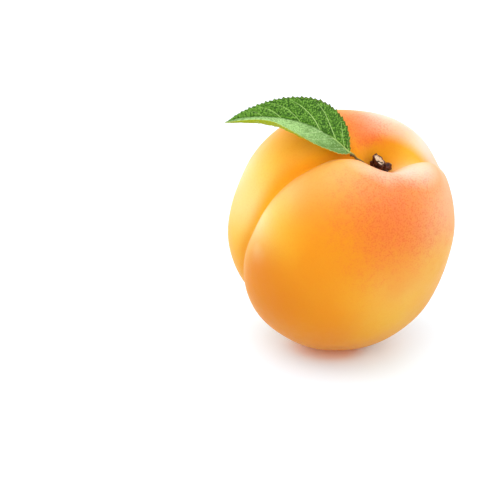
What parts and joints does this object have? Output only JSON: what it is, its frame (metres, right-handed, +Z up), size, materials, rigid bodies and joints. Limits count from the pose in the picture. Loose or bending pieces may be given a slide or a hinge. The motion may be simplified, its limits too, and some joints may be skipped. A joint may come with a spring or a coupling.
{
  "type": "apricot",
  "caption": "Whole ripe apricot with a deep suture, the stub of its woody stem in the stem cavity and a toothed leaf arching from its stalk, resting on a small flat spot of its underside.",
  "frame": {"origin": "centre of the small flat spot on the underside, on the surface that the fruit rests on", "axes": "+Z up, away from the resting surface; -Y towards the full front cheek; the leaf arches towards -X and the stem leans towards +X and -Y"},
  "size_m": [0.0521, 0.0516, 0.0608],
  "materials": {
    "apricot_skin": null,
    "stem_bark": "dark red-brown bark with a paler broken end",
    "leaf_green": null
  },
  "bodies": {
    "root": {"fruit": "apricot_skin", "stem": "stem_bark", "leaf": "leaf_green"}
  },
  "joints": []
}
